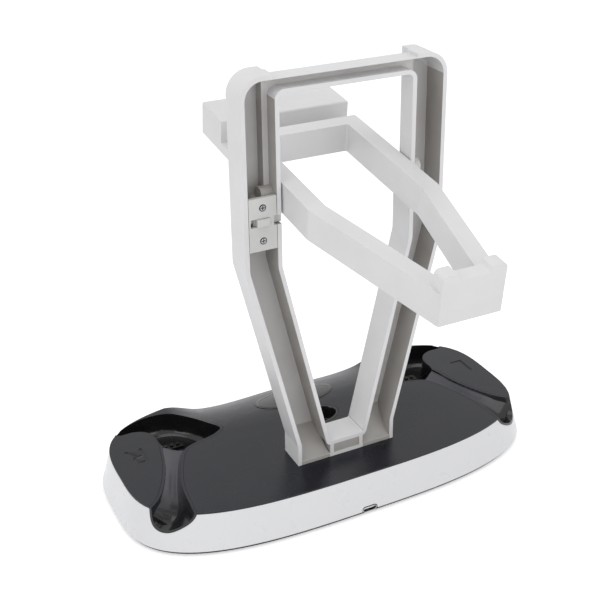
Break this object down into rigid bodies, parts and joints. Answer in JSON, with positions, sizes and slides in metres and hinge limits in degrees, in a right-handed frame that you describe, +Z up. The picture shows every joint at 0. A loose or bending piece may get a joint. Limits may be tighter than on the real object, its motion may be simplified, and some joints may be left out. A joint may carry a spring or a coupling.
{
  "type": "vr controller charging station",
  "caption": "Charging station for hand controllers: an oval base with side cradles, an upright channel frame, and a latched ring arm that folds flat into the frame to hold a headset.",
  "frame": {"origin": "on the floor under the middle of the whole product's box, feet resting at Z = 0", "axes": "+X along the base's length, from the latch's column to the other; +Y to the front, away from the power inlet; +Z up"},
  "size_m": [0.2636, 0.2264, 0.2608],
  "materials": {
    "pale_plastic": "fine satin moulded texture, pale warm grey",
    "shell_plastic": "smooth semi-gloss, cool white",
    "cover_plastic": "fine satin black",
    "liner_plastic": "polished piano black",
    "plate_plastic": "fine matt dark grey",
    "badge_plastic": "polished black, plain",
    "latch_plastic": "fine satin light grey",
    "foot_rubber": "matt",
    "steel": "bright zinc plated",
    "contact_metal": "gold plated pins",
    "board_laminate": "green solder mask"
  },
  "bodies": {
    "stand": {"foot_pads": "foot_rubber", "base_plate": "plate_plastic", "base_screws": "steel", "upright_screws": "steel", "skirt": "shell_plastic", "top_cover": "cover_plastic", "side_cover_right": "cover_plastic", "side_cover_left": "cover_plastic", "cradle_right": "liner_plastic", "cradle_left": "liner_plastic", "contacts_right": "contact_metal", "contacts_left": "contact_metal", "charging_board": "board_laminate", "inlet_socket": "steel", "oval_badge": "badge_plastic", "port_well": "liner_plastic", "upright_frame": "pale_plastic", "hinge_pin_right": "steel", "hinge_pin_left": "steel", "latch_cover": "latch_plastic", "latch_spring": "steel", "latch_screws": "steel"},
    "arm": {"swing_arm": "pale_plastic"},
    "latch": {"latch_slider": "latch_plastic"}
  },
  "joints": [
    {"name": "arm_fold", "type": "hinge", "parent": "stand", "child": "arm", "pos_m": [0, 0.01671, 0.1951], "axis": [1, 0, 0], "range_deg": [0, 83]},
    {"name": "latch_slide", "type": "slide", "parent": "stand", "child": "latch", "axis": [-1, 0, 0], "range_m": [0, 0.0032], "stiffness_N_per_m": 300, "springref_m": -0.003, "deforming": ["latch_spring"]}
  ]
}
